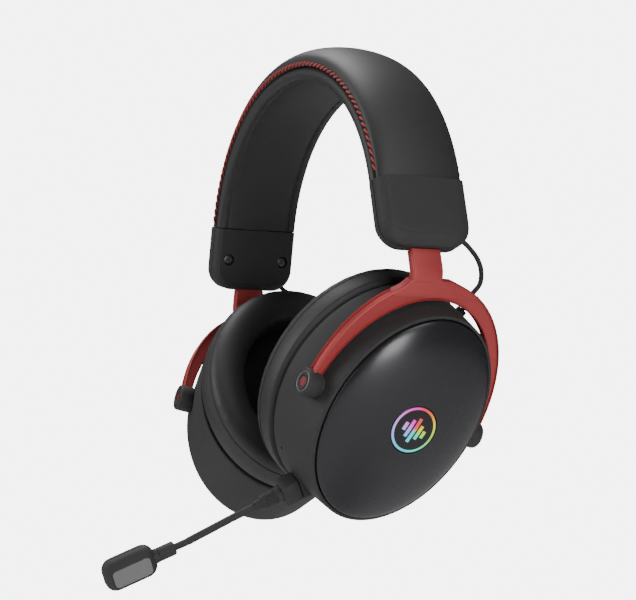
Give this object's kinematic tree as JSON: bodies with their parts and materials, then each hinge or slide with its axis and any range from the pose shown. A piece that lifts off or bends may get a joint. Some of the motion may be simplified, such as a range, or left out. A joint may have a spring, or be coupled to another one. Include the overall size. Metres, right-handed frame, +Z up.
{
  "type": "gaming headset",
  "caption": "Over-ear gaming headset: crowned padded headband, sliding fork yokes, tilting oval ear cups with round lit emblems, and a plug-in boom microphone.",
  "frame": {"origin": "middle of the headband pad's underside at its highest point, where the headset rests on a head or hook", "axes": "+Z up out of the top of the headband, +X to the wearer's left (the cup with the microphone), -Y forward"},
  "size_m": [0.1716, 0.1487, 0.2232],
  "materials": {
    "leatherette": "soft black leatherette, fine grain",
    "dark_steel": "dark zinc",
    "satin_black": "satin black",
    "red_paint": "satin red paint",
    "gloss_black": "semi-gloss black",
    "light_guide": "frosted, lit from behind",
    "circuit_board": "green solder mask",
    "speaker_cloth": "black knitted cloth",
    "bright_steel": "bright",
    "cone_film": "thin amber film",
    "red_pin": "dark red paint",
    "rubber": "matte",
    "mic_screen": "grey woven screen",
    "battery_wrap": "grey shrink wrap"
  },
  "bodies": {
    "headband": {"headband_pad": "leatherette", "headband_spring": "dark_steel", "headband_cover": "leatherette", "end_cap_inner_left": "satin_black", "end_cap_outer_left": "satin_black", "cap_screw_front_left": "dark_steel", "cap_screw_rear_left": "dark_steel", "end_cap_inner_right": "satin_black", "end_cap_outer_right": "satin_black", "cap_screw_front_right": "dark_steel", "cap_screw_rear_right": "dark_steel"},
    "yoke_left": {"yoke_left": "red_paint", "pivot_barrel_front_left": "satin_black", "pivot_barrel_rear_left": "satin_black", "lead_upper_left": "rubber", "lead_lower_left": "rubber"},
    "cup_left": {"cup_housing_left": "satin_black", "cover_plate_left": "gloss_black", "emblem_light_left": "light_guide", "led_board_left": "circuit_board", "baffle_left": "satin_black", "speaker_cloth_left": "speaker_cloth", "driver_basket_left": "bright_steel", "driver_magnet_left": "dark_steel", "driver_cone_left": "cone_film", "ear_cushion_left": "leatherette", "pivot_pin_front_left": "red_pin", "pivot_pin_rear_left": "red_pin", "main_board": "circuit_board", "charging_port": "bright_steel", "mic_socket": "satin_black"},
    "yoke_right": {"yoke_right": "red_paint", "pivot_barrel_front_right": "satin_black", "pivot_barrel_rear_right": "satin_black", "lead_upper_right": "rubber", "lead_lower_right": "rubber"},
    "cup_right": {"cup_housing_right": "satin_black", "cover_plate_right": "gloss_black", "emblem_light_right": "light_guide", "led_board_right": "circuit_board", "baffle_right": "satin_black", "speaker_cloth_right": "speaker_cloth", "driver_basket_right": "bright_steel", "driver_magnet_right": "dark_steel", "driver_cone_right": "cone_film", "ear_cushion_right": "leatherette", "pivot_pin_front_right": "red_pin", "pivot_pin_rear_right": "red_pin", "battery_pack": "battery_wrap"},
    "mic_base": {"mic_plug": "satin_black"},
    "mic_middle": {"mic_boom": "satin_black"},
    "mic_end": {"mic_head": "satin_black", "mic_screen": "mic_screen"},
    "power_key": {"power_button": "rubber"},
    "mute_key": {"mute_button": "rubber"},
    "volume_roller": {"volume_wheel": "rubber"}
  },
  "joints": [
    {"name": "slider_left", "type": "slide", "parent": "headband", "child": "yoke_left", "axis": [0.226, 0, -0.9741], "range_m": [0, 0.03], "deforming": ["lead_upper_left"]},
    {"name": "cup_tilt_left", "type": "hinge", "parent": "yoke_left", "child": "cup_left", "pos_m": [0.0545, -0.0018, -0.13819], "axis": [-0.1179, 0.9664, -0.2285], "range_deg": [-24, 2.5], "deforming": ["lead_lower_left"]},
    {"name": "slider_right", "type": "slide", "parent": "headband", "child": "yoke_right", "axis": [-0.226, 0, -0.9741], "range_m": [0, 0.03], "deforming": ["lead_upper_right"]},
    {"name": "cup_tilt_right", "type": "hinge", "parent": "yoke_right", "child": "cup_right", "pos_m": [-0.0545, -0.0018, -0.13819], "axis": [-0.1179, -0.9664, 0.2285], "range_deg": [-24, 2.5], "deforming": ["lead_lower_right"]},
    {"name": "mic_pull_out", "type": "slide", "parent": "cup_left", "child": "mic_base", "axis": [-0.2231, -0.8738, -0.4322], "range_m": [0, 0.012]},
    {"name": "boom_bend_lower", "type": "hinge", "parent": "mic_base", "child": "mic_middle", "pos_m": [0.02421, -0.05714, -0.18031], "axis": [-0.4008, 0.4863, -0.7764], "range_deg": [-25, 25]},
    {"name": "boom_bend_upper", "type": "hinge", "parent": "mic_middle", "child": "mic_end", "pos_m": [0.01978, -0.07349, -0.1889], "axis": [0.8886, 0, -0.4586], "range_deg": [-25, 25]},
    {"name": "power_press", "type": "slide", "parent": "cup_left", "child": "power_key", "axis": [0.4506, -0.1861, 0.8731], "range_m": [0, 0.0006], "stiffness_N_per_m": 400, "springref_m": -0.0006},
    {"name": "mute_press", "type": "slide", "parent": "cup_left", "child": "mute_key", "axis": [0.3962, -0.5037, 0.7677], "range_m": [0, 0.0006], "stiffness_N_per_m": 400, "springref_m": -0.0006},
    {"name": "volume_turn", "type": "hinge", "parent": "cup_left", "child": "volume_roller", "pos_m": [0.03987, 0.01807, -0.16], "axis": [0.8886, 0, -0.4586], "continuous": true}
  ]
}
